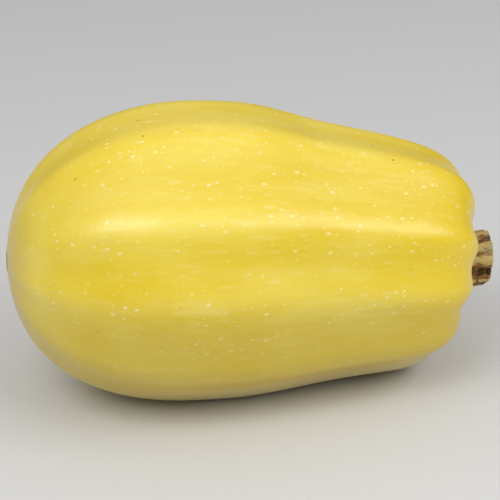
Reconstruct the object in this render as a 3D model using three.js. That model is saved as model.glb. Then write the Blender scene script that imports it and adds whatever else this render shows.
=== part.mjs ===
import * as THREE from 'three';

// A ripe spaghetti squash lying on its side, with the stub of its cut stem.
// Lengths in millimetres, angles in degrees. +Z is up and +X runs along the fruit towards its stem.
// "Along" is the distance from the blossom end, and a section's angle climbs from 0 at its -Y side.

// Outline of the fruit, from the blossom end over the belly and the waist to the stem's hollow.
const FRUIT_LENGTH = 225;
const BLOSSOM_BLUNTNESS = 39.5;
const BELLY_ALONG = 90;
const BELLY_RADIUS = 72.4;
const BELLY_REACH_BACK = 60;
const BELLY_REACH_ON = 38;
const WAIST_ALONG = 177;
const WAIST_RADIUS = 60;
const WAIST_REACH_BACK = 43;
const WAIST_REACH_ON = 32.5;
const WAIST_SLOPE = 0.19;
const SHOULDER_BLUNTNESS = 36;
const CREST_RADIUS = 17.5;
const CREST_ROUNDNESS = 12;
const HOLLOW_DEPTH = 6;
const HOLLOW_FLOOR_RADIUS = 10;

// Low ribs run from end to end, unevenly spaced around the fruit.
const RIBS = [3, 33, 72, 108, 144, 180, 217, 253, 290, 329];
const RIB_WIDTH = 7.2;
const RIB_HEIGHT = 2.9;
const RIB_TROUGH = 1.3;
const RIB_FADE_AT_BLOSSOM = 46;
const RIB_FADE_AT_STEM = 24;

// The upper side has a shallow saddle before the shoulder.
const SADDLE_ALONG = 150;
const SADDLE_REACH = 22;
const SADDLE_DEPTH = 1.4;

// The fruit droops a little at both ends, and the shoulder around the stem leans over.
const BLOSSOM_LEAN = 0.03;
const BLOSSOM_LEAN_POWER = 4;
const BLOSSOM_DROOP = 2.9;
const STEM_DROOP = 8.3;
const SHOULDER_LEAN = 0.16;
const SHOULDER_LEAN_POWER = 2.4;

// It lies with its stem end down, on the pressed ground side of the belly.
const REST_TILT = 4.5;
const GROUND_SIDE_DEPTH = 0.8;

// The stem stands in the hollow on a flared foot, rises a little and ends in a square cut.
const STEM_LENGTH = 22.3;
const STEM_RADIUS = 13.7;
const STEM_FOOT_RADIUS = 15.3;
const STEM_FLARE_HEIGHT = 8;
const STEM_EDGE_ROUND = 0.8;
const STEM_CLEARANCE = 0.7;
const STEM_RISE = 0.27;
const STEM_SQUARENESS = 0.8;
const STEM_RIDGES = [20, 50, 88, 124, 158, 195, 238, 280, 324];
const STEM_RIDGE_WIDTH = 11;
const STEM_RIDGE_HEIGHT = 1.5;
const STEM_TROUGH = 0.7;

const FRUIT_RINGS = 62;
const FRUIT_SEGMENTS = 50;
const STEM_STEPS_PER_CURVE = 7;
const STEM_SEGMENTS = 40;

const HALF_LENGTH = FRUIT_LENGTH / 2;
const HOLLOW_ALONG = FRUIT_LENGTH - HOLLOW_DEPTH;
const { clamp, degToRad, euclideanModulo, lerp, radToDeg, smoothstep } = THREE.MathUtils;

// Sum of one rounded ridge, one unit high, at each of the given angles.
function ridgedProfile(angle, ridges, width) {
  let total = 0;
  for (const ridge of ridges) {
    const away = euclideanModulo(angle - ridge + 180, 360) - 180;
    total += Math.exp(-0.5 * (away / width) ** 2);
  }
  return total;
}

// Height of the ribbed skin over the plain outline: the ribs die away towards both ends.
function ribHeight(angle, radius, along) {
  const fadeRadius = lerp(RIB_FADE_AT_BLOSSOM, RIB_FADE_AT_STEM, along / FRUIT_LENGTH);
  const fade = 1 - Math.exp(-radius / fadeRadius);
  return fade * (RIB_HEIGHT * ridgedProfile(angle, RIBS, RIB_WIDTH) - RIB_TROUGH);
}

// Turns a lathed shape from its upright axis onto the X axis.
function layAlongX(geometry) {
  for (const name of ['position', 'normal']) {
    const attribute = geometry.getAttribute(name);
    for (let i = 0; i < attribute.count; i += 1) {
      attribute.setXYZ(i, attribute.getY(i), attribute.getZ(i), attribute.getX(i));
    }
  }
}

// Depth of the saddle, deepest along the top.
function saddleDepth(angle, along) {
  const upward = Math.max(Math.sin(degToRad(angle)), 0);
  return SADDLE_DEPTH * upward ** 2 * Math.exp(-(((along - SADDLE_ALONG) / SADDLE_REACH) ** 2));
}

// Moves every vertex with the given rule, which gets the point, its normal, angle and radius.
function movePoints(geometry, rule) {
  const position = geometry.getAttribute('position');
  const normal = geometry.getAttribute('normal');
  const point = new THREE.Vector3();
  const outward = new THREE.Vector3();
  for (let i = 0; i < position.count; i += 1) {
    point.fromBufferAttribute(position, i);
    outward.fromBufferAttribute(normal, i);
    const angle = radToDeg(Math.atan2(point.z, -point.y));
    rule(point, outward, angle, Math.hypot(point.y, point.z));
    position.setXYZ(i, point.x, point.y, point.z);
  }
}

// The lean of the ends, their droop, and the tilt of the whole fruit at rest. The cut stem hardly leans.
function settle(geometry) {
  movePoints(geometry, (point) => {
    const reach = point.x / HALF_LENGTH - 1;
    const stemward = Math.max(reach, 0);
    const blossomward = Math.max(-reach, 0);
    const upStem = smoothstep(point.x, FRUIT_LENGTH, FRUIT_LENGTH + STEM_FLARE_HEIGHT);
    const shoulderLean = SHOULDER_LEAN * stemward ** SHOULDER_LEAN_POWER * (1 - STEM_SQUARENESS * upStem);
    const blossomLean = BLOSSOM_LEAN * blossomward ** BLOSSOM_LEAN_POWER;
    point.x += (shoulderLean - blossomLean) * point.z;
    point.z -= STEM_DROOP * stemward ** 2 + BLOSSOM_DROOP * blossomward ** 2;
  });
  geometry.translate(-HALF_LENGTH, 0, 0);
  geometry.rotateY(degToRad(REST_TILT));
}

function fruitGeometry() {
  const outline = new THREE.Path();
  outline.moveTo(0, 0);
  outline.bezierCurveTo(
    BLOSSOM_BLUNTNESS,
    0,
    BELLY_RADIUS,
    BELLY_ALONG - BELLY_REACH_BACK,
    BELLY_RADIUS,
    BELLY_ALONG,
  );
  outline.bezierCurveTo(
    BELLY_RADIUS,
    BELLY_ALONG + BELLY_REACH_ON,
    WAIST_RADIUS + WAIST_REACH_BACK * WAIST_SLOPE,
    WAIST_ALONG - WAIST_REACH_BACK,
    WAIST_RADIUS,
    WAIST_ALONG,
  );
  outline.bezierCurveTo(
    WAIST_RADIUS - WAIST_REACH_ON * WAIST_SLOPE,
    WAIST_ALONG + WAIST_REACH_ON,
    CREST_RADIUS + SHOULDER_BLUNTNESS,
    FRUIT_LENGTH,
    CREST_RADIUS,
    FRUIT_LENGTH,
  );
  outline.bezierCurveTo(
    CREST_RADIUS - CREST_ROUNDNESS,
    FRUIT_LENGTH,
    HOLLOW_FLOOR_RADIUS,
    HOLLOW_ALONG,
    0,
    HOLLOW_ALONG,
  );

  const geometry = new THREE.LatheGeometry(outline.getSpacedPoints(FRUIT_RINGS), FRUIT_SEGMENTS);
  layAlongX(geometry);
  movePoints(geometry, (point, outward, angle, radius) => {
    point.addScaledVector(outward, ribHeight(angle, radius, point.x) - saddleDepth(angle, point.x));
  });
  settle(geometry);

  geometry.computeBoundingBox();
  const ground = geometry.boundingBox.min.z + GROUND_SIDE_DEPTH;
  movePoints(geometry, (point) => {
    point.z = Math.max(point.z, ground);
  });
  geometry.computeBoundingBox();
  return geometry;
}

function stemGeometry() {
  const foot = HOLLOW_ALONG + STEM_CLEARANCE;
  const rim = FRUIT_LENGTH + STEM_CLEARANCE;
  const top = HOLLOW_ALONG + STEM_LENGTH;
  const outline = new THREE.Path();
  outline.moveTo(0, foot);
  const rise = CREST_RADIUS - CREST_ROUNDNESS;
  outline.bezierCurveTo(HOLLOW_FLOOR_RADIUS, foot, rise, rim, STEM_FOOT_RADIUS, rim);
  outline.quadraticCurveTo(STEM_RADIUS, rim + STEM_EDGE_ROUND, STEM_RADIUS, rim + STEM_FLARE_HEIGHT);
  outline.lineTo(STEM_RADIUS, top - STEM_EDGE_ROUND);
  outline.lineTo(STEM_RADIUS - STEM_EDGE_ROUND, top);
  outline.lineTo(0, top);

  const geometry = new THREE.LatheGeometry(outline.getPoints(STEM_STEPS_PER_CURVE), STEM_SEGMENTS);
  layAlongX(geometry);
  movePoints(geometry, (point, outward, angle, radius) => {
    const height = clamp(point.x - rim, 0, STEM_FLARE_HEIGHT);
    const fluting = smoothstep(height, 0, STEM_FLARE_HEIGHT / 2) * (radius / STEM_RADIUS);
    const flute = STEM_RIDGE_HEIGHT * ridgedProfile(angle, STEM_RIDGES, STEM_RIDGE_WIDTH) - STEM_TROUGH;
    const grow = radius > 0 ? 1 + (fluting * flute) / radius : 1;
    point.x += ribHeight(angle, radius, FRUIT_LENGTH) * (1 - smoothstep(height, 0, STEM_FLARE_HEIGHT));
    point.y *= grow;
    point.z = point.z * grow + STEM_RISE * Math.max(point.x - rim, 0);
  });
  settle(geometry);
  return geometry;
}

const fruit = new THREE.Mesh(
  fruitGeometry(),
  new THREE.MeshStandardMaterial({ color: 0xe6cb50, roughness: 0.38, metalness: 0 }),
);
fruit.name = 'fruit';

const stem = new THREE.Mesh(
  stemGeometry(),
  new THREE.MeshStandardMaterial({ color: 0xa4834c, roughness: 0.85, metalness: 0 }),
);
stem.name = 'stem';

const squash = new THREE.Group();
squash.add(fruit, stem);

// The origin is under the middle of the whole part, on the surface it lies on.
const box = new THREE.Box3().setFromObject(squash);
const middle = box.getCenter(new THREE.Vector3());
squash.position.set(-middle.x, -middle.y, -box.min.z);

export default squash;
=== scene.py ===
import bisect
import logging
import math
from dataclasses import dataclass, field
from enum import Enum
from typing import Sequence

import bmesh
import bpy
from mathutils import Matrix, Vector, noise
from mathutils.geometry import interpolate_bezier


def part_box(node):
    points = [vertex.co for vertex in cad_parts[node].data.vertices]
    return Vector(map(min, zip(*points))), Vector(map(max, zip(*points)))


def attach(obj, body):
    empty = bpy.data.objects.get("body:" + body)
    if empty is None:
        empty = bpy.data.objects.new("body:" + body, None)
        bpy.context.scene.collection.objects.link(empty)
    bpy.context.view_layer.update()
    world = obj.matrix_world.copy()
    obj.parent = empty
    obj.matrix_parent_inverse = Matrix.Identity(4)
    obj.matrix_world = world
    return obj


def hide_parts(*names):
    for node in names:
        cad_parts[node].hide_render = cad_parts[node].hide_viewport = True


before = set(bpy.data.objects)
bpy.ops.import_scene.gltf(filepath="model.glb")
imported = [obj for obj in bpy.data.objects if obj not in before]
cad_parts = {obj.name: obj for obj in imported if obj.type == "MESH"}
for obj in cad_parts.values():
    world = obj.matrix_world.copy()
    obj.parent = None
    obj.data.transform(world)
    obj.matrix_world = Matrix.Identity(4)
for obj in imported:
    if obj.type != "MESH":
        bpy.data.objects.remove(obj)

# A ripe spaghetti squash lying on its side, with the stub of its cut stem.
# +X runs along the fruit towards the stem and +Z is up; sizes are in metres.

log = logging.getLogger("squash")

MM = 0.001
Colour = tuple[float, float, float, float]
Pair = tuple[float, float]


def shade(red: int, green: int, blue: int) -> Colour:
    """A screen colour as the linear colour that the shaders take.

    Args:
        red: Red from 0 to 255.
        green: Green from 0 to 255.
        blue: Blue from 0 to 255.

    Returns:
        The linear colour, with full alpha.
    """
    linear = [((c / 255 + 0.055) / 1.055) ** 2.4 if c > 10 else c / 255 / 12.92 for c in (red, green, blue)]
    return linear[0], linear[1], linear[2], 1.0


def smooth_step(low: float, high: float, value: float) -> float:
    """A soft step from 0 at low to 1 at high."""
    t = min(max((value - low) / (high - low), 0.0), 1.0)
    return t * t * (3 - 2 * t)


def ridged(angle: float, ridges: Sequence[float], width: float) -> float:
    """The sum of one rounded ridge, one unit high, at each angle.

    Args:
        angle: Where to read the profile, in degrees.
        ridges: The angles of the ridges, in degrees.
        width: The width of a ridge, in degrees.

    Returns:
        The height of the profile.
    """
    total = 0.0
    for ridge in ridges:
        away = (angle - ridge + 180) % 360 - 180
        total += math.exp(-0.5 * (away / width) ** 2)
    return total


class Slot(Enum):
    """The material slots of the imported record."""

    RIND = "rind"
    STEM = "stem"


@dataclass(frozen=True)
class Outline:
    """A smooth outline of joined curves, each four (along, radius) pairs in millimetres."""

    arcs: tuple[tuple[Pair, Pair, Pair, Pair], ...]

    def points(self, count: int) -> list[Vector]:
        """Points spread evenly along the outline.

        Args:
            count: How many points to give, both ends among them.

        Returns:
            The points in metres, along in x and radius in y.
        """
        dense: list[Vector] = []
        for start, leave, arrive, end in self.arcs:
            run = interpolate_bezier(*(Vector(pair).to_3d() for pair in (start, leave, arrive, end)), 160)
            dense.extend(run if not dense else run[1:])
        reach = [0.0]
        for before, after in zip(dense, dense[1:]):
            reach.append(reach[-1] + (after - before).length)
        spread = []
        for step in range(count):
            goal = reach[-1] * step / (count - 1)
            k = min(max(bisect.bisect_left(reach, goal), 1), len(dense) - 1)
            part = (goal - reach[k - 1]) / (reach[k] - reach[k - 1])
            spread.append(dense[k - 1].lerp(dense[k], part) * MM)
        return spread


@dataclass(frozen=True)
class Lie:
    """The bend of the fruit and how it lies: its stem end a little down."""

    length: float = 225 * MM
    stem_droop: float = 8.3 * MM
    blossom_droop: float = 4.0 * MM
    lean: float = 0.16
    lean_power: float = 2.4
    blossom_lean: float = 0.03
    stem_squareness: float = 0.8
    tilt: float = math.radians(4.5)
    ground_depth: float = 0.8 * MM

    def settle(self, point: Vector) -> Vector:
        """Where a point of the straight fruit comes to lie.

        Args:
            point: A point measured from the blossom end, on the fruit's own axis.

        Returns:
            The point after the bend, the lean and the tilt, measured from the fruit's middle.
        """
        reach = point.x / (self.length / 2) - 1
        stemward = max(reach, 0.0)
        blossomward = max(-reach, 0.0)
        up_stem = smooth_step(self.length, self.length + 8 * MM, point.x)
        lean = self.lean * stemward**self.lean_power * (1 - self.stem_squareness * up_stem)
        x = point.x + (lean - self.blossom_lean * blossomward**4) * point.z - self.length / 2
        z = point.z - self.stem_droop * stemward**2 - self.blossom_droop * blossomward**2
        return Matrix.Rotation(self.tilt, 3, "Y") @ Vector((x, point.y, z))


class Wiring:
    """Adds nodes to a node tree and joins them."""

    def __init__(self, tree: bpy.types.NodeTree) -> None:
        """Starts with an emptied tree.

        Args:
            tree: The tree that gets the nodes.
        """
        self.tree = tree
        tree.nodes.clear()

    def add(self, kind: str, inputs: dict | None = None, **settings: object) -> bpy.types.Node:
        """Adds one node.

        Args:
            kind: The node's type, without its ShaderNode prefix.
            inputs: Input name or number to a value, or to the socket that feeds it.
            settings: The node's own settings.

        Returns:
            The new node.
        """
        node = self.tree.nodes.new(kind if kind.startswith("Node") else f"ShaderNode{kind}")
        for name, value in settings.items():
            setattr(node, name, value)
        for key, value in (inputs or {}).items():
            if isinstance(value, bpy.types.NodeSocket):
                self.tree.links.new(value, node.inputs[key])
            else:
                node.inputs[key].default_value = value
        return node

    def maths(self, operation: str, *values: object) -> bpy.types.NodeSocket:
        """The result of one sum on numbers or sockets."""
        return self.add("Math", dict(enumerate(values)), operation=operation).outputs[0]

    def ramp(self, value: bpy.types.NodeSocket, low: float, high: float, to_low: float = 0.0,
             to_high: float = 1.0) -> bpy.types.NodeSocket:
        """A smooth step of a value.

        Args:
            value: The socket to read.
            low: The value where the step starts.
            high: The value where the step ends.
            to_low: The result below the step.
            to_high: The result above the step.

        Returns:
            The result's socket.
        """
        sockets = {"Value": value, "From Min": low, "From Max": high, "To Min": to_low, "To Max": to_high}
        return self.add("MapRange", sockets, interpolation_type="SMOOTHSTEP").outputs["Result"]

    def tint(self, base: object, colour: object, amount: object) -> bpy.types.NodeSocket:
        """A colour laid over another.

        Args:
            base: The colour below, or its socket.
            colour: The colour on top, or its socket.
            amount: How much of the top colour shows, or its socket.

        Returns:
            The mixed colour's socket.
        """
        return self.add("Mix", {0: amount, 6: base, 7: colour}, data_type="RGBA").outputs[2]

    def call(self, group: bpy.types.NodeTree, inputs: dict) -> bpy.types.NodeSocket:
        """Adds a node group and gives its first output."""
        node = self.tree.nodes.new("ShaderNodeGroup")
        node.node_tree = group
        for key, value in inputs.items():
            if isinstance(value, bpy.types.NodeSocket):
                self.tree.links.new(value, node.inputs[key])
            else:
                node.inputs[key].default_value = value
        return node.outputs[0]


def open_group(name: str, numbers: dict[str, float]) -> tuple[Wiring, bpy.types.Node, bpy.types.Node]:
    """Starts a node group with a vector input, number inputs and one number output.

    Args:
        name: The group's name.
        numbers: Each number input and its default.

    Returns:
        The group's wiring, its input node and its output node.
    """
    group = bpy.data.node_groups.new(name, "ShaderNodeTree")
    wiring = Wiring(group)
    group.interface.new_socket("Vector", in_out="INPUT", socket_type="NodeSocketVector")
    for label, default in numbers.items():
        group.interface.new_socket(label, in_out="INPUT", socket_type="NodeSocketFloat").default_value = default
    group.interface.new_socket("Mask", in_out="OUTPUT", socket_type="NodeSocketFloat")
    return wiring, wiring.add("NodeGroupInput"), wiring.add("NodeGroupOutput")


class SkinEffects:
    """The patterns that both finishes use, each a node group built once."""

    def __init__(self) -> None:
        """Builds the groups."""
        self.fibre = self._fibre()
        self.specks = self._specks()

    @staticmethod
    def _fibre() -> bpy.types.NodeTree:
        """Streaks that run lengthwise, from 0 to 1."""
        wiring, given, result = open_group("lengthwise_fibre", {"Scale": 200.0, "Stretch": 10.0, "Detail": 3.0})
        squeeze = wiring.maths("DIVIDE", 1.0, given.outputs["Stretch"])
        scale = wiring.add("CombineXYZ", {"X": squeeze, "Y": 1.0, "Z": 1.0}).outputs[0]
        drawn = wiring.add("VectorMath", {0: given.outputs["Vector"], 1: scale}, operation="MULTIPLY")
        grain = wiring.add("TexNoise", {"Vector": drawn.outputs[0], "Scale": given.outputs["Scale"],
                                        "Detail": given.outputs["Detail"], "Roughness": 0.55})
        wiring.tree.links.new(grain.outputs[0], result.inputs[0])
        return wiring.tree

    @staticmethod
    def _specks() -> bpy.types.NodeTree:
        """Scattered round specks of many sizes, from 0 to 1."""
        wiring, given, result = open_group("specks", {"Scale": 300.0, "Size": 0.3, "Share": 0.5, "Soft": 0.1})
        cells = wiring.add("TexVoronoi", {"Vector": given.outputs["Vector"], "Scale": given.outputs["Scale"]},
                           feature="F1")
        parts = wiring.add("SeparateColor", {0: cells.outputs["Color"]})
        spread = wiring.maths("MULTIPLY_ADD", parts.outputs[0], 0.8, 0.2)
        radius = wiring.maths("MULTIPLY", given.outputs["Size"], spread)
        inside = wiring.maths("SUBTRACT", radius, cells.outputs["Distance"])
        edge = wiring.add("MapRange", {"Value": inside, "From Min": 0.0, "From Max": given.outputs["Soft"]},
                          interpolation_type="SMOOTHSTEP").outputs["Result"]
        kept = wiring.maths("LESS_THAN", parts.outputs[1], given.outputs["Share"])
        wiring.tree.links.new(wiring.maths("MULTIPLY", edge, kept), result.inputs[0])
        return wiring.tree


@dataclass(frozen=True)
class RindFinish:
    """Waxy yellow skin: lengthwise streaks, pale dots in rows, rubbed patches, painted shade in the furrows and
    on the lower side, and a pale underside that is partly the spot where it lay in the field and partly painted
    reflection of the pale floor.
    """

    pale: Colour = shade(250, 226, 92)
    deep: Colour = shade(241, 210, 46)
    shoulder: Colour = shade(240, 206, 26)
    # Painted shade for the furrows between the ribs, and the skin's own fine darker streaks.
    streak_and_furrow_shade: Colour = shade(226, 194, 40)
    # Painted shade for the lower side of the skin.
    painted_low_shade: Colour = shade(200, 172, 52)
    blossom: Colour = shade(206, 178, 74)
    dot: Colour = shade(254, 241, 164)
    rub: Colour = shade(224, 202, 108)
    fleck: Colour = shade(128, 98, 34)
    scar: Colour = shade(116, 84, 44)
    # Pale underside colour: partly the spot where the fruit lay in the field, partly painted reflection of the
    # pale floor.
    field_spot_and_floor_reflection: Colour = shade(238, 222, 172)

    def build(self, effects: SkinEffects) -> bpy.types.Material:
        """Builds the material.

        Args:
            effects: The shared patterns.

        Returns:
            The finished material.
        """
        material = bpy.data.materials.new("rind_skin")
        material.use_nodes = True
        w = Wiring(material.node_tree)
        place = w.add("TexCoord").outputs["Object"]
        skin = w.add("Attribute", attribute_name="skin").outputs["Vector"]
        marks = w.add("SeparateXYZ", {0: w.add("Attribute", attribute_name="marks").outputs["Vector"]}).outputs
        along, rib, scar = marks[0], marks[1], marks[2]

        broad = w.add("TexNoise", {"Vector": place, "Scale": 16.0, "Detail": 2.0}).outputs[0]
        wide = w.call(effects.fibre, {"Vector": skin, "Scale": 70.0, "Stretch": 4.0, "Detail": 3.0})
        fine = w.call(effects.fibre, {"Vector": skin, "Scale": 340.0, "Stretch": 4.0, "Detail": 4.0})
        calm = w.maths("MULTIPLY", w.ramp(along, 0.12, 0.38), w.ramp(along, 0.88, 0.72))
        streak = w.add("Mix", {0: calm, 2: broad, 3: wide}).outputs[0]
        tone = w.maths("ADD", w.maths("MULTIPLY", broad, 0.5), w.maths("MULTIPLY", streak, 0.5))
        colour = w.tint(self.deep, self.pale, w.ramp(tone, 0.36, 0.64))
        colour = w.tint(colour, self.shoulder, w.ramp(along, 0.66, 0.86, 0.0, 0.7))
        colour = w.tint(colour, self.blossom, w.ramp(along, 0.16, 0.0, 0.0, 0.75))
        # Painted shade: darker colour in the furrows between the ribs.
        colour = w.tint(colour, self.streak_and_furrow_shade, w.maths("MULTIPLY", calm, w.ramp(rib, 1.0, 0.0, 0.0, 0.3)))
        # The skin's own fine lengthwise streaks, in the same darker colour.
        colour = w.tint(colour, self.streak_and_furrow_shade, w.maths("MULTIPLY", calm, w.ramp(fine, 0.5, 0.78, 0.0, 0.18)))
        colour = w.tint(colour, self.dot, w.maths("MULTIPLY", calm, w.ramp(fine, 0.48, 0.28, 0.0, 0.16)))

        rows = w.call(effects.fibre, {"Vector": skin, "Scale": 75.0, "Stretch": 4.0, "Detail": 1.0})
        in_rows = w.ramp(rows, 0.44, 0.6, 0.3, 1.0)
        row_mask = w.maths("MAXIMUM", in_rows, w.ramp(rib, 0.45, 0.9))
        flow = w.add("VectorMath", {0: place, 1: (0.62, 1.0, 1.0)}, operation="MULTIPLY").outputs[0]
        big_dots = w.call(effects.specks, {"Vector": flow, "Scale": 300.0, "Size": 0.28, "Share": 0.95,
                                           "Soft": 0.08})
        small_dots = w.call(effects.specks, {"Vector": flow, "Scale": 520.0, "Size": 0.32, "Share": 0.9,
                                             "Soft": 0.12})
        dots = w.maths("MAXIMUM", big_dots, w.maths("MULTIPLY", small_dots, 0.6))
        dash_flow = w.add("VectorMath", {0: place, 1: (0.2, 1.0, 1.0)}, operation="MULTIPLY").outputs[0]
        dashes = w.call(effects.specks, {"Vector": dash_flow, "Scale": 240.0, "Size": 0.3, "Share": 0.8,
                                         "Soft": 0.2})
        colour = w.tint(colour, self.dot, w.maths("MULTIPLY", w.maths("MULTIPLY", dashes, calm), 0.3))
        dots = w.maths("MULTIPLY", dots, row_mask)
        colour = w.tint(colour, self.dot, w.maths("MULTIPLY", dots, 0.8))

        patch = w.call(effects.fibre, {"Vector": skin, "Scale": 26.0, "Stretch": 2.2, "Detail": 2.0})
        worn = w.call(effects.fibre, {"Vector": skin, "Scale": 330.0, "Stretch": 3.5, "Detail": 5.0})
        spot = w.add("SeparateXYZ", {0: place}).outputs
        level = w.maths("MULTIPLY_ADD", spot[0], 0.1, spot[2])
        # Painted shade: the lower side of the skin is darkened.
        colour = w.tint(colour, self.painted_low_shade, w.ramp(level, 0.074, 0.038, 0.0, 0.5))
        low_side = w.ramp(level, 0.09, 0.04, 0.0, 0.07)
        rubbed = w.ramp(w.maths("ADD", patch, low_side), 0.58, 0.7)
        rubbed = w.maths("MULTIPLY", rubbed, w.ramp(worn, 0.44, 0.6))
        rubbed = w.maths("MULTIPLY", rubbed, calm)
        colour = w.tint(colour, self.rub, w.maths("MULTIPLY", rubbed, 0.3))
        flecks = w.call(effects.specks, {"Vector": place, "Scale": 150.0, "Size": 0.14, "Share": 0.09,
                                         "Soft": 0.05})
        colour = w.tint(colour, self.fleck, w.maths("MULTIPLY", flecks, 0.6))

        # Paler at the very bottom: partly the fruit's own field spot, partly painted reflection of the pale
        # floor.
        field_spot_and_reflection_mask = w.maths("MULTIPLY", w.ramp(spot[2], 0.028, 0.006), w.ramp(broad, 0.3, 0.6, 0.6, 1.0))
        colour = w.tint(colour, self.field_spot_and_floor_reflection, w.maths("MULTIPLY", field_spot_and_reflection_mask, 0.8))
        cork = w.maths("MULTIPLY", scar, w.ramp(worn, 0.35, 0.55, 0.75, 1.0))
        colour = w.tint(colour, self.scar, cork)

        grain = w.maths("MULTIPLY", fine, calm)
        rough = w.maths("MULTIPLY_ADD", rubbed, 0.14, w.ramp(grain, 0.35, 0.65, 0.28, 0.34))
        rough = w.maths("MULTIPLY_ADD", cork, 0.4, rough)
        pores = w.add("TexNoise", {"Vector": place, "Scale": 850.0, "Detail": 3.0}).outputs[0]
        relief = w.maths("MULTIPLY_ADD", grain, 0.3, w.maths("MULTIPLY", pores, 0.3))
        relief = w.maths("MULTIPLY_ADD", dots, 0.35, relief)
        relief = w.maths("MULTIPLY_ADD", cork, w.maths("MULTIPLY", worn, 1.5), relief)
        bump = w.add("Bump", {"Height": relief, "Strength": 0.1, "Distance": 0.0003}).outputs[0]
        shader = w.add("BsdfPrincipled", {"Base Color": colour, "Roughness": rough, "Normal": bump,
                                          "Specular IOR Level": 0.62}).outputs[0]
        w.add("OutputMaterial", {"Surface": shader})
        return material


@dataclass(frozen=True)
class StemFinish:
    """Dry corky stem: tan ridges, brown furrows with dark pits, and a pale fibrous cut."""

    ridge: Colour = shade(204, 176, 112)
    brown: Colour = shade(138, 92, 44)
    pit: Colour = shade(72, 50, 22)
    olive: Colour = shade(184, 168, 90)
    grey: Colour = shade(156, 154, 112)
    cut: Colour = shade(208, 186, 136)
    cut_dark: Colour = shade(150, 120, 74)

    def build(self, effects: SkinEffects) -> bpy.types.Material:
        """Builds the material.

        Args:
            effects: The shared patterns.

        Returns:
            The finished material.
        """
        material = bpy.data.materials.new("stem_cork")
        material.use_nodes = True
        w = Wiring(material.node_tree)
        place = w.add("TexCoord").outputs["Object"]
        grain = w.add("Attribute", attribute_name="skin").outputs["Vector"]
        marks = w.add("SeparateXYZ", {0: w.add("Attribute", attribute_name="marks").outputs["Vector"]}).outputs
        crest, cut, pit = marks[0], marks[1], marks[2]

        fibre = w.call(effects.fibre, {"Vector": grain, "Scale": 900.0, "Stretch": 2.2, "Detail": 5.0})
        coarse = w.call(effects.fibre, {"Vector": grain, "Scale": 330.0, "Stretch": 2.2, "Detail": 4.0})
        patches = w.add("TexNoise", {"Vector": place, "Scale": 130.0, "Detail": 3.0}).outputs[0]
        lift = w.maths("ADD", crest, w.maths("MULTIPLY", w.maths("SUBTRACT", coarse, 0.5), 1.8))
        lift = w.maths("ADD", lift, w.maths("MULTIPLY", w.maths("SUBTRACT", fibre, 0.5), 1.6))
        colour = w.tint(self.brown, self.ridge, w.ramp(lift, 0.38, 0.88))
        colour = w.tint(colour, self.olive, w.ramp(patches, 0.5, 0.64, 0.0, 0.65))
        colour = w.tint(colour, self.grey, w.ramp(patches, 0.42, 0.3, 0.0, 0.5))
        colour = w.tint(colour, self.pit, w.ramp(lift, 0.22, -0.15, 0.0, 0.85))
        colour = w.tint(colour, self.pit, w.ramp(fibre, 0.44, 0.3, 0.0, 0.75))
        colour = w.tint(colour, self.pit, w.maths("MULTIPLY", pit, 0.9))
        pores = w.call(effects.specks, {"Vector": place, "Scale": 900.0, "Size": 0.45, "Share": 0.6,
                                        "Soft": 0.15})
        face = w.tint(self.cut, self.cut_dark, w.maths("MAXIMUM", w.maths("MULTIPLY", pores, 0.7),
                                                       w.ramp(patches, 0.45, 0.65, 0.0, 0.6)))
        colour = w.tint(colour, face, cut)

        relief = w.maths("MULTIPLY_ADD", coarse, 0.6, w.maths("MULTIPLY", fibre, 0.8))
        relief = w.maths("SUBTRACT", relief, w.maths("MULTIPLY", w.maths("MULTIPLY", pores, cut), 0.4))
        bump = w.add("Bump", {"Height": relief, "Strength": 0.8, "Distance": 0.0008}).outputs[0]
        rough = w.ramp(fibre, 0.3, 0.7, 0.72, 0.92)
        shader = w.add("BsdfPrincipled", {"Base Color": colour, "Roughness": rough, "Normal": bump}).outputs[0]
        w.add("OutputMaterial", {"Surface": shader})
        return material


@dataclass(frozen=True)
class FloorFinish:
    """Plain pale studio paper."""

    pale: Colour = (0.7, 0.7, 0.7, 1.0)
    dusk: Colour = (0.68, 0.68, 0.68, 1.0)

    def build(self) -> bpy.types.Material:
        """Builds the material."""
        material = bpy.data.materials.new("studio_paper")
        material.use_nodes = True
        w = Wiring(material.node_tree)
        tooth = w.add("TexNoise", {"Vector": w.add("TexCoord").outputs["Object"], "Scale": 400.0}).outputs[0]
        colour = w.tint(self.pale, self.dusk, tooth)
        shader = w.add("BsdfPrincipled", {"Base Color": colour, "Roughness": 0.9}).outputs[0]
        w.add("OutputMaterial", {"Surface": shader})
        return material


def spin_outline(points: Sequence[Vector], segments: int) -> bmesh.types.BMesh:
    """A closed round solid about the X axis.

    Args:
        points: The outline from axis to axis, along in x and radius in y.
        segments: How many steps the full turn has.

    Returns:
        The solid, whose "reach" layer holds how far along the outline each vertex is, from 0 to 1.
    """
    solid = bmesh.new()
    reach = solid.verts.layers.float.new("reach")
    ends = (solid.verts.new((0, 0, 0)), solid.verts.new((1, 0, 0)))
    edge = solid.edges.new(ends)
    bmesh.ops.subdivide_edges(solid, edges=[edge], cuts=len(points) - 2)
    chain = sorted(solid.verts, key=lambda vert: vert.co.x)
    for step, (vert, point) in enumerate(zip(chain, points)):
        vert.co = (point.x, 0.0, point.y)
        vert[reach] = step / (len(points) - 1)
    bmesh.ops.spin(solid, geom=[*solid.verts, *solid.edges], cent=(0, 0, 0), axis=(1, 0, 0), dvec=(0, 0, 0),
                   angle=math.tau, steps=segments, use_merge=True, use_duplicate=False)
    bmesh.ops.remove_doubles(solid, verts=solid.verts, dist=1e-6)
    bmesh.ops.recalc_face_normals(solid, faces=solid.faces)
    solid.normal_update()
    return solid


def angle_of(point: Vector) -> float:
    """The angle round the X axis in degrees, climbing from 0 on the -Y side."""
    return math.degrees(math.atan2(point.z, -point.y))


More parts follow.
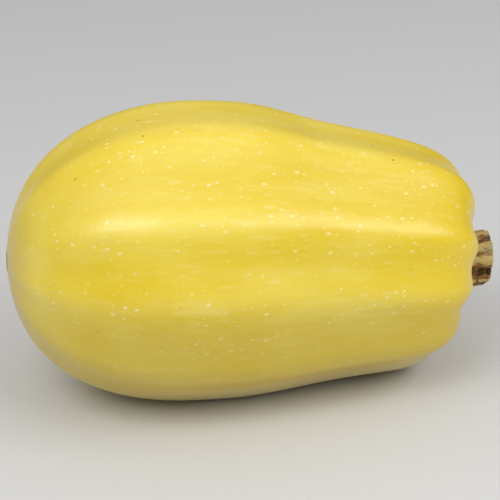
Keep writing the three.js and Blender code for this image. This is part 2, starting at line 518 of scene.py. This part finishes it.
def finish_piece(solid: bmesh.types.BMesh, name: str, material: bpy.types.Material,
                 node: str) -> bpy.types.Object:
    """Turns a modelled solid into a piece of the object.

    Args:
        solid: The modelled solid, in place.
        name: The piece's name.
        material: Its finish.
        node: The CAD node it stands for.

    Returns:
        The finished piece.
    """
    mesh = bpy.data.meshes.new(name)
    solid.to_mesh(mesh)
    solid.free()
    mesh.shade_smooth()
    mesh.materials.append(material)
    piece = bpy.data.objects.new(name, mesh)
    bpy.context.scene.collection.objects.link(piece)
    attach(piece, "root")
    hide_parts(node)
    log.info("%s: %d vertices, %d faces", name, len(mesh.vertices), len(mesh.polygons))
    return piece


@dataclass
class Ribs:
    """The low ribs of the fruit, uneven in angle, height and course."""

    angles: tuple[float, ...] = (3, 33, 72, 108, 144, 180, 217, 253, 290, 329)
    width: float = 7.0
    height: float = 2.85 * MM
    trough: float = 1.2 * MM
    fade_at_blossom: float = 55 * MM
    fade_at_stem: float = 24 * MM
    wander: float = 1.6
    length: float = 225 * MM

    def profile(self, angle: float, along: float) -> float:
        """How far up a rib a place is, from about 0 in a furrow to 1 on a crest."""
        course = angle + self.wander * noise.noise(Vector((along * 14, math.radians(angle) * 1.2, 3.1)))
        return ridged(course, self.angles, self.width)

    def lift(self, angle: float, radius: float, along: float) -> float:
        """How far the ribs raise the skin over the plain outline.

        Args:
            angle: The angle round the fruit, in degrees.
            radius: The distance from the axis.
            along: The distance from the blossom end.

        Returns:
            The height in metres, below zero in the furrows.
        """
        part = min(max(along / self.length, 0.0), 1.0)
        fade = self.fade_at_blossom + (self.fade_at_stem - self.fade_at_blossom) * part
        strength = 1 - math.exp(-((radius / fade) ** 2))
        return strength * (self.height * self.profile(angle, along) - self.trough)


@dataclass
class Fruit:
    """The squash itself: one solid from the blossom scar to the hollow round the stem."""

    lie: Lie
    ribs: Ribs
    outline: Outline = Outline((
        ((0, 0), (0, 39.5), (30, 72.4), (90, 72.4)),
        ((90, 72.4), (128, 72.4), (134, 68.2), (177, 60)),
        ((177, 60), (209.5, 53.8), (225, 53.5), (225, 17.5)),
        ((225, 17.5), (225, 5.5), (219, 10), (219, 0)),
    ))
    rings: int = 310
    segments: int = 300
    skin_radius: float = 72 * MM
    scar_radius: float = 4.6 * MM
    scar_ring_width: float = 1.3 * MM
    scar_ring_height: float = 0.45 * MM
    scar_cup_radius: float = 3.4 * MM
    scar_cup_depth: float = 1.1 * MM
    unevenness: float = 0.5 * MM
    ripple: float = 0.05 * MM
    saddle_along: float = 150 * MM
    saddle_reach: float = 22 * MM
    saddle_depth: float = 1.4 * MM
    shift: Vector = field(default_factory=Vector)

    def _relief(self, point: Vector, reach: float) -> float:
        """The height of the skin over the smooth outline.

        Args:
            point: A point on the outline's own surface.
            reach: How far along the outline it is, from 0 to 1.

        Returns:
            The height in metres.
        """
        radius = math.hypot(point.y, point.z)
        angle = angle_of(point)
        lift = self.ribs.lift(angle, radius, point.x)
        upward = max(math.sin(math.radians(angle)), 0.0)
        saddle = math.exp(-(((point.x - self.saddle_along) / self.saddle_reach) ** 2))
        lift -= self.saddle_depth * upward**2 * saddle
        broad = noise.noise(point * 17 + Vector((4.2, 0, 0))) * self.unevenness * smooth_step(0, 0.03, radius)
        drawn = Vector((point.x * 0.25, point.y, point.z))
        ripple = noise.noise(drawn * 120) * self.ripple
        lift += broad + ripple
        if reach < 0.2:
            ring = math.exp(-(((radius - self.scar_radius) / self.scar_ring_width) ** 2))
            cup = math.exp(-((radius / self.scar_cup_radius) ** 2))
            lift += self.scar_ring_height * ring - self.scar_cup_depth * cup
        return lift

    def build(self, material: bpy.types.Material) -> bpy.types.Object:
        """Models the fruit where the CAD part lies.

        Args:
            material: The skin.

        Returns:
            The finished piece.
        """
        solid = spin_outline(self.outline.points(self.rings), self.segments)
        reach = solid.verts.layers.float["reach"]
        skin = solid.verts.layers.float_vector.new("skin")
        marks = solid.verts.layers.float_vector.new("marks")
        length = self.lie.length * 1.25
        for vert in solid.verts:
            angle = angle_of(vert.co)
            turn = math.radians(angle)
            radius = math.hypot(vert.co.y, vert.co.z)
            scar = 1 - smooth_step(0.8, 1.35, radius / self.scar_radius) if vert[reach] < 0.2 else 0.0
            across = Vector((math.cos(turn), math.sin(turn))) * self.skin_radius
            vert[skin] = (vert[reach] * length, across.x, across.y)
            vert[marks] = (vert[reach], min(self.ribs.profile(angle, vert.co.x), 1.0), scar)
        moved = [vert.co + vert.normal * self._relief(vert.co, vert[reach]) for vert in solid.verts]
        for vert, place in zip(solid.verts, moved):
            vert.co = self.lie.settle(place)
        self._lay_down(solid)
        return finish_piece(solid, "squash_fruit", material, "fruit")

    def _lay_down(self, solid: bmesh.types.BMesh) -> None:
        """Sets the fruit where the CAD part lies and presses its ground side flat.

        Args:
            solid: The modelled fruit.
        """
        low, high = (Vector(corner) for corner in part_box("fruit"))
        lowest = min(vert.co.z for vert in solid.verts)
        left = min(vert.co.x for vert in solid.verts)
        near = min(vert.co.y for vert in solid.verts)
        far = max(vert.co.y for vert in solid.verts)
        self.shift = Vector((low.x - left, (low.y + high.y - near - far) / 2, -lowest - self.lie.ground_depth))
        soft = 0.25 * MM
        for vert in solid.verts:
            vert.co += self.shift
            vert.co.z = (vert.co.z + math.hypot(vert.co.z, soft)) / 2


@dataclass
class Stem:
    """The corky stub of the stem, fluted, flared at its foot and cut square."""

    lie: Lie
    ribs: Ribs
    shift: Vector
    outline: Outline = Outline((
        ((218.6, 0), (218.6, 10), (224.6, 5.5), (224.9, 16.6)),
        ((224.9, 16.6), (225.5, 14.4), (228.5, 13.7), (233, 13.5)),
        ((233, 13.5), (236, 13.5), (238.5, 13.6), (240.6, 13.7)),
        ((240.6, 13.7), (241.1, 13.7), (241.2, 13.3), (241.1, 12.4)),
        ((241.1, 12.4), (240.9, 8), (240.7, 4), (240.5, 0)),
    ))
    ridges: tuple[float, ...] = (22, 50, 92, 124, 158, 195, 238, 280, 333)
    pits: tuple[tuple[float, float, float], ...] = (
        (352, 12.0, 3.6), (68, 5.5, 2.4), (141, 9.0, 3.0), (216, 7.0, 3.4), (301, 5.0, 2.4),
    )
    radius: float = 13.6 * MM
    rim: float = 225 * MM
    top: float = 240.5 * MM
    ridge_width: float = 9.0
    ridge_height: float = 1.5 * MM
    trough: float = 0.7 * MM
    rise: float = 0.27
    rings: int = 190
    segments: int = 260

    def _pit(self, angle: float, height: float) -> float:
        """How deep in a dark pit a place on the side is.

        Args:
            angle: The angle round the stem, in degrees.
            height: The height above the fruit.

        Returns:
            0 outside the pits and 1 inside.
        """
        depth = 0.0
        for around, up, size in self.pits:
            across = math.radians((angle - around + 180) % 360 - 180) * self.radius / MM / (0.6 * size)
            along = (height / MM - up) / size
            depth = max(depth, math.exp(-(across**2) - along**2))
        return smooth_step(0.35, 0.6, depth)

    def build(self, material: bpy.types.Material) -> bpy.types.Object:
        """Models the stem in the fruit's hollow.

        Args:
            material: The cork.

        Returns:
            The finished piece.
        """
        solid = spin_outline(self.outline.points(self.rings), self.segments)
        skin = solid.verts.layers.float_vector.new("skin")
        marks = solid.verts.layers.float_vector.new("marks")
        for vert in solid.verts:
            angle = angle_of(vert.co)
            turn = math.radians(angle)
            radius = math.hypot(vert.co.y, vert.co.z)
            height = max(vert.co.x - self.rim, 0.0)
            side = smooth_step(0.0, 3.5 * MM, height)
            profile = min(ridged(angle + 3 * noise.noise(Vector((vert.co.x * 90, turn, 0.0))), self.ridges,
                                 self.ridge_width), 1.0)
            coarse = noise.noise(Vector((vert.co.x * 180, 5 * math.cos(turn), 5 * math.sin(turn))))
            crust = noise.noise(Vector((vert.co.x * 420, 14 * math.cos(turn), 14 * math.sin(turn))))
            pit = self._pit(angle + 25 * coarse, height + 2 * MM * crust) * side
            flute = self.ridge_height * profile - self.trough - 1.6 * MM * pit
            flute += (0.45 * coarse + 0.3 * crust) * MM
            cut = smooth_step(0.2 * MM, 0.9 * MM, vert.co.x - self.top + 0.5 * MM) * (
                1 - smooth_step(12.2 * MM, 13.3 * MM, radius))
            vert[skin] = (vert.co.x, self.radius * math.cos(turn), self.radius * math.sin(turn))
            vert[marks] = (profile, cut, pit)
            grow = 1 + side * flute * min(radius / self.radius, 1.0) / max(radius, 1e-5)
            fringe = (1 - side) * smooth_step(11 * MM, 15 * MM, radius)
            grow += fringe * (0.12 * profile + 0.06 * coarse - 0.05)
            lift = self.ribs.lift(angle, radius, self.rim) * (1 - smooth_step(0.0, 8 * MM, height))
            fibres = noise.noise(vert.co * 900) * 0.25 * MM * smooth_step(237.3 * MM, 240.1 * MM, vert.co.x)
            place = Vector((vert.co.x + lift + fibres, vert.co.y * grow, vert.co.z * grow))
            place.z += self.rise * height
            vert.co = self.lie.settle(place) + self.shift
        return finish_piece(solid, "squash_stem", material, "stem")


@dataclass
class Studio:
    """The pale floor, the soft lights and the camera."""

    floor_half: float = 4.0
    lens: float = 135.0
    distance: float = 0.93
    azimuth: float = math.radians(-9)
    elevation: float = math.radians(24)
    roll: float = math.radians(1.4)

    def floor(self, material: bpy.types.Material) -> None:
        """Lays the floor under the fruit."""
        sheet = bmesh.new()
        bmesh.ops.create_grid(sheet, x_segments=4, y_segments=4, size=self.floor_half)
        mesh = bpy.data.meshes.new("studio_floor")
        sheet.to_mesh(mesh)
        sheet.free()
        mesh.materials.append(material)
        floor = bpy.data.objects.new("studio_floor", mesh)
        bpy.context.scene.collection.objects.link(floor)

    @staticmethod
    def _towards(azimuth: float, elevation: float) -> Vector:
        """The direction from the fruit at an azimuth and elevation, in radians."""
        level = math.cos(elevation)
        return Vector((math.sin(azimuth) * level, -math.cos(azimuth) * level, math.sin(elevation)))

    def softbox(self, name: str, azimuth: float, elevation: float, away: float, size: Pair,
                power: float) -> None:
        """Hangs one rectangular soft light that faces the fruit.

        Args:
            name: The light's name.
            azimuth: Degrees round from the -Y side.
            elevation: Degrees above the floor.
            away: Its distance from the fruit.
            size: Its width and height.
            power: Its power in watts.
        """
        light = bpy.data.lights.new(name, "AREA")
        light.shape = "RECTANGLE"
        light.size, light.size_y = size
        light.energy = power
        lamp = bpy.data.objects.new(name, light)
        way = self._towards(math.radians(azimuth), math.radians(elevation))
        lamp.location = way * away + Vector((0, 0, 0.07))
        lamp.rotation_euler = way.to_track_quat("Z", "Y").to_euler()
        bpy.context.scene.collection.objects.link(lamp)

    @staticmethod
    def sky(level: float, overhead: float) -> None:
        """Surrounds the scene with pale light that grows towards the top.

        Args:
            level: Its strength at the horizon and below.
            overhead: Its strength straight above.
        """
        world = bpy.data.worlds.new("studio_sky")
        world.use_nodes = True
        w = Wiring(world.node_tree)
        up = w.add("SeparateXYZ", {0: w.add("TexCoord").outputs["Generated"]}).outputs[2]
        glow = w.add("Background", {"Color": (1, 1, 1, 1), "Strength": w.ramp(up, 0.0, 1.0, level, overhead)})
        w.add("OutputWorld", {"Surface": glow.outputs[0]})
        bpy.context.scene.world = world

    def camera(self, aim: Vector) -> None:
        """Sets up the camera.

        Args:
            aim: The point in the middle of its view.
        """
        camera = bpy.data.cameras.new("camera")
        camera.lens = self.lens
        camera.sensor_width = 36.0
        eye = bpy.data.objects.new("camera", camera)
        back = self._towards(self.azimuth, self.elevation)
        level = Vector((math.cos(self.azimuth), math.sin(self.azimuth), 0))
        rise = back.cross(level)
        right = level * math.cos(self.roll) - rise * math.sin(self.roll)
        up = level * math.sin(self.roll) + rise * math.cos(self.roll)
        turn = Matrix((right, up, back)).transposed().to_4x4()
        eye.matrix_world = Matrix.Translation(aim + back * self.distance) @ turn
        bpy.context.scene.collection.objects.link(eye)
        bpy.context.scene.camera = eye


def main() -> None:
    logging.basicConfig(level=logging.INFO)
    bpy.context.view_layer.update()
    effects = SkinEffects()
    lie = Lie()
    ribs = Ribs()
    fruit = Fruit(lie, ribs)
    fruit.build(RindFinish().build(effects))
    Stem(lie, ribs, fruit.shift).build(StemFinish().build(effects))

    studio = Studio()
    studio.floor(FloorFinish().build())
    studio.sky(0.1, 0.7)
    studio.softbox("left_light", -43, 49, 1.3, (0.9, 0.6), 6.2)
    studio.softbox("right_light", 50, 41, 1.3, (1.15, 0.56), 5.9)
    studio.camera(Vector((-0.0012, 0.0, 0.0692)))
    bpy.context.scene.view_settings.view_transform = "Standard"


if __name__ == "__main__":
    main()
